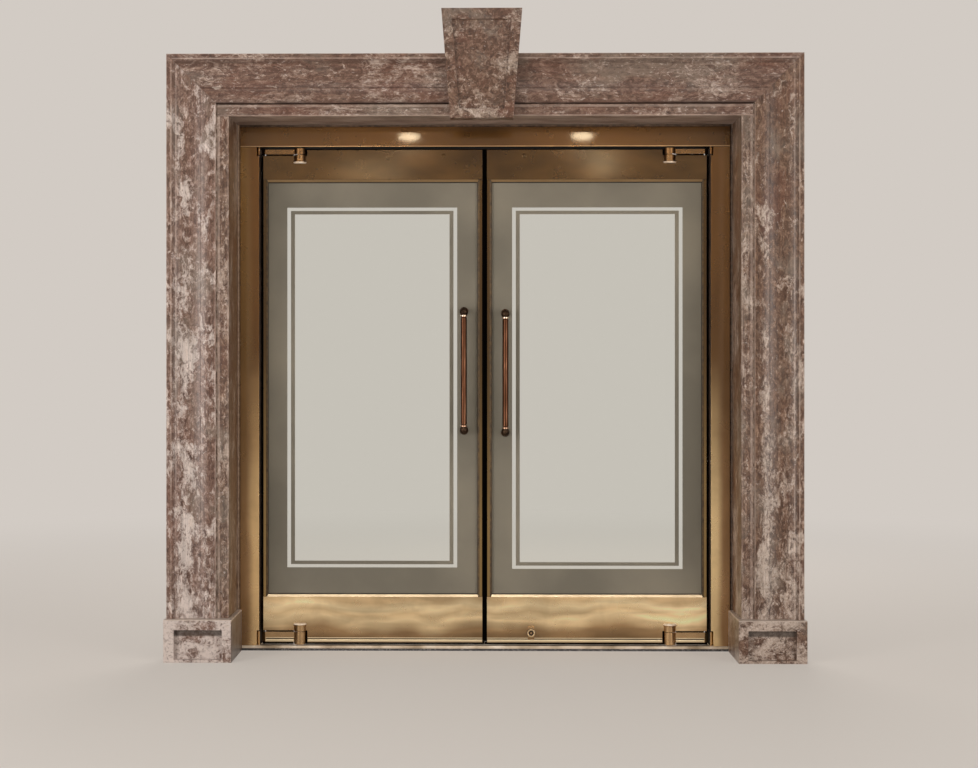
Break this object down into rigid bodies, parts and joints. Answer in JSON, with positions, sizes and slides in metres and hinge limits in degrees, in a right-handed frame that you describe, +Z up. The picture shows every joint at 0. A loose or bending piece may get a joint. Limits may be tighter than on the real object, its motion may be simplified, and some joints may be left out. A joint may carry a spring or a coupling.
{
  "type": "double entrance door in a marble surround",
  "caption": "Double glass entrance door with brass rails on balanced arms, in a brass frame within a marble surround with keystone and plinth blocks.",
  "frame": {"origin": "middle of the footprint, on the floor under the plinth blocks", "axes": "+X to the right seen from outside, +Y into the building, +Z up; the leaves open outward, towards -Y"},
  "size_m": [2.501, 0.46, 2.541],
  "materials": {
    "marble": "polished, veined brown-red",
    "granite": "honed dark grey",
    "brass": "satin, aged",
    "cast_brass": "satin cast and turned",
    "bronze": "reddish brown, hand worn",
    "glass": "etched border around a clear panel"
  },
  "bodies": {
    "surround": {"architrave_left": "marble", "architrave_right": "marble", "architrave_head_left": "marble", "architrave_head_right": "marble", "keystone": "marble", "plinth_left": "marble", "plinth_right": "marble", "reveal_left": "marble", "reveal_right": "marble", "reveal_head": "marble", "stone_sill": "granite", "threshold": "brass", "frame_jamb_left": "brass", "frame_jamb_right": "brass", "frame_head": "brass"},
    "left_arm": {"left_top_arm": "cast_brass", "left_bottom_arm": "cast_brass", "left_arm_shaft": "cast_brass"},
    "left_leaf": {"left_top_rail": "brass", "left_bottom_rail": "brass", "left_glass": "glass", "left_hinge_edge": "brass", "left_meeting_edge": "brass", "left_outside_pull": "bronze", "left_inside_pull": "bronze", "left_top_knuckle": "cast_brass", "left_bottom_knuckle": "cast_brass"},
    "right_arm": {"right_top_arm": "cast_brass", "right_bottom_arm": "cast_brass", "right_arm_shaft": "cast_brass"},
    "right_leaf": {"right_top_rail": "brass", "right_bottom_rail": "brass", "right_glass": "glass", "right_hinge_edge": "brass", "right_meeting_edge": "brass", "right_outside_pull": "bronze", "right_inside_pull": "bronze", "right_top_knuckle": "cast_brass", "right_bottom_knuckle": "cast_brass", "lock_cylinder": "cast_brass"}
  },
  "joints": [
    {"name": "left_arm_swing", "type": "hinge", "parent": "surround", "child": "left_arm", "pos_m": [-0.9185, 0.145, 1], "axis": [0, 0, -1], "range_deg": [0, 45]},
    {"name": "left_leaf_turn", "type": "hinge", "parent": "left_arm", "child": "left_leaf", "pos_m": [-0.7495, 0.127, 1], "axis": [0, 0, -1], "range_deg": [0, 45]},
    {"name": "right_arm_swing", "type": "hinge", "parent": "surround", "child": "right_arm", "pos_m": [0.9185, 0.145, 1], "axis": [0, 0, 1], "range_deg": [0, 45]},
    {"name": "right_leaf_turn", "type": "hinge", "parent": "right_arm", "child": "right_leaf", "pos_m": [0.7495, 0.127, 1], "axis": [0, 0, 1], "range_deg": [0, 45]}
  ],
  "couplings": [
    {"joint": "left_leaf_turn", "follows": "left_arm_swing", "ratio": 1},
    {"joint": "right_leaf_turn", "follows": "right_arm_swing", "ratio": 1}
  ]
}
